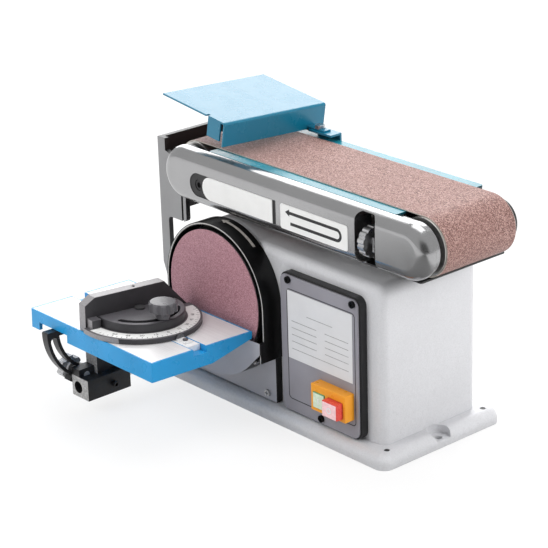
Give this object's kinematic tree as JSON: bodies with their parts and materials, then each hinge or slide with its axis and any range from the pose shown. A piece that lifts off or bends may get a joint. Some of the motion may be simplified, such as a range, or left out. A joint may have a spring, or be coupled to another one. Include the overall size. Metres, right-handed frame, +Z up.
{
  "type": "belt and disc sander",
  "caption": "Bench sander with a tilting belt arm over a motor base, a sanding disc with a tilting work table and mitre gauge, and a switch box.",
  "frame": {"origin": "on the ground, in the middle of the base and of its two bench bolts", "axes": "+X along the belt to the idler drum, -Y to the front where the disc is, +Z up"},
  "size_m": [0.4634, 0.36, 0.3333],
  "materials": {
    "base_paint": "light silver-grey hammered paint on cast aluminium",
    "arm_grey": "metallic grey paint on cast aluminium",
    "yoke_grey": "metallic grey paint outside, black inside",
    "black_steel": "satin black paint",
    "black_plastic": "fine-grained black plastic",
    "cover_grey": "grey paint on sheet steel",
    "panel_grey": "dark grey plastic",
    "plate_white": "blank white plate",
    "switch_yellow": "glossy orange-yellow plastic",
    "button_green": "glossy green plastic",
    "button_red": "glossy red plastic",
    "steel": "bright steel",
    "black_screw": "blackened steel",
    "alloy": "turned aluminium",
    "abrasive_belt": "brown aluminium-oxide grain on cloth",
    "abrasive_disc": "mauve aluminium-oxide grain on paper",
    "blue_paint": "satin light blue paint",
    "teal_paint": "satin teal paint",
    "table_alloy": "machined top with blue painted skirts",
    "mitre_black": "dark grey painted die casting",
    "motor_paint": "dark paint",
    "iron_core": "bare laminated iron",
    "drive_rubber": "black rubber",
    "knob_grey": "light grey plastic"
  },
  "bodies": {
    "stand": {"base_casting": "base_paint", "bottom_plate": "black_steel", "bottom_plate_screws": "black_screw", "drum_yoke": "yoke_grey", "yoke_bolts": "black_screw", "drum_bearings": "steel", "disc_housing": "black_plastic", "lower_disc_cover": "cover_grey", "front_cover_screws": "steel", "switch_box": "black_plastic", "switch_panel": "panel_grey", "rating_plate": "plate_white", "switch_body": "switch_yellow", "motor_front_bell": "alloy", "motor_shell": "motor_paint", "motor_stator": "iron_core", "motor_bearings": "steel", "motor_mount_screws": "steel", "cable_gland": "black_plastic", "support_rod": "steel", "drive_belt": "drive_rubber", "drive_cover": "black_plastic", "drive_cover_screws": "black_screw"},
    "spindle": {"motor_shaft": "steel", "motor_rotor": "iron_core", "disc_plate": "alloy", "disc_paper": "abrasive_disc", "motor_pulley": "alloy"},
    "drum_set": {"drive_drum": "alloy", "drum_pulley": "alloy"},
    "arm": {"arm_front_housing": "arm_grey", "arm_rear_housing": "arm_grey", "platen": "teal_paint", "belt_cover": "black_steel", "slot_plate": "black_plastic", "arrow_plate": "plate_white", "arm_lock_screw": "black_screw", "abrasive_belt": "abrasive_belt", "work_stop": "blue_paint", "stop_bracket": "blue_paint", "stop_screws": "steel", "tension_spring": "steel"},
    "idler_carriage": {"idler_fork": "steel", "idler_axle": "steel"},
    "idler_roll": {"idler_drum": "alloy", "idler_bearings": "steel"},
    "tracking": {"tracking_knob": "alloy"},
    "lever": {"tension_lever": "black_steel"},
    "slide_block": {"table_block": "mitre_black", "block_clamp_screw": "black_screw"},
    "table": {"work_table": "table_alloy", "table_quadrant": "mitre_black"},
    "tilt_screw": {"tilt_knob": "knob_grey"},
    "mitre_slider": {"mitre_bar": "steel", "mitre_pointer": "steel"},
    "mitre_turner": {"mitre_head": "mitre_black", "mitre_scale": "plate_white"},
    "mitre_clamp": {"mitre_knob": "alloy"},
    "start": {"start_button": "button_green"},
    "stop": {"stop_button": "button_red"}
  },
  "joints": [
    {"name": "spindle_spin", "type": "hinge", "parent": "stand", "child": "spindle", "pos_m": [-0.0615, 0, 0.129], "axis": [0, -1, 0], "continuous": true},
    {"name": "drum_spin", "type": "hinge", "parent": "stand", "child": "drum_set", "pos_m": [-0.136, 0, 0.248], "axis": [0, -1, 0], "continuous": true},
    {"name": "arm_tilt", "type": "hinge", "parent": "stand", "child": "arm", "pos_m": [-0.136, 0, 0.248], "axis": [0, -1, 0], "range_deg": [0, 90]},
    {"name": "idler_slide", "type": "slide", "parent": "arm", "child": "idler_carriage", "axis": [1, 0, 0], "range_m": [-0.008, 0], "deforming": ["tension_spring"]},
    {"name": "idler_spin", "type": "hinge", "parent": "idler_carriage", "child": "idler_roll", "pos_m": [0.22047, 0, 0.248], "axis": [0, -1, 0], "continuous": true},
    {"name": "tracking_turn", "type": "hinge", "parent": "idler_carriage", "child": "tracking", "pos_m": [0.163, -0.068, 0.244], "axis": [1, 0, 0], "range_deg": [-180, 180]},
    {"name": "lever_turn", "type": "hinge", "parent": "arm", "child": "lever", "pos_m": [0.07997, 0.07, 0.248], "axis": [0, -1, 0], "range_deg": [0, 90]},
    {"name": "table_slide", "type": "slide", "parent": "stand", "child": "slide_block", "axis": [0, 1, 0], "range_m": [-0.03, 0.0025]},
    {"name": "table_tilt", "type": "hinge", "parent": "slide_block", "child": "table", "pos_m": [-0.1645, -0.183, 0.097], "axis": [1, 0, 0], "range_deg": [0, 47]},
    {"name": "tilt_knob_turn", "type": "hinge", "parent": "slide_block", "child": "tilt_screw", "pos_m": [-0.175, -0.2145, 0.04244], "axis": [1, 0, 0], "range_deg": [-180, 180]},
    {"name": "mitre_slide", "type": "slide", "parent": "table", "child": "mitre_slider", "axis": [1, 0, 0], "range_m": [-0.06, 0.06]},
    {"name": "mitre_swivel", "type": "hinge", "parent": "mitre_slider", "child": "mitre_turner", "pos_m": [-0.0955, -0.17427, 0.11771], "axis": [0, 0.0349, 0.9994], "range_deg": [-54, 66]},
    {"name": "mitre_knob_turn", "type": "hinge", "parent": "mitre_slider", "child": "mitre_clamp", "pos_m": [-0.0545, -0.17368, 0.1347], "axis": [0, 0.0349, 0.9994], "range_deg": [-180, 180]},
    {"name": "start_press", "type": "slide", "parent": "stand", "child": "start", "axis": [0, 1, 0], "range_m": [0, 0.003], "stiffness_N_per_m": 600},
    {"name": "stop_press", "type": "slide", "parent": "stand", "child": "stop", "axis": [0, 1, 0], "range_m": [0, 0.003], "stiffness_N_per_m": 600}
  ],
  "couplings": [
    {"joint": "drum_spin", "follows": "spindle_spin", "ratio": 0.48148},
    {"joint": "idler_spin", "follows": "spindle_spin", "ratio": 0.48148},
    {"joint": "lever_turn", "follows": "idler_slide", "rad_per_m": -196.34}
  ]
}
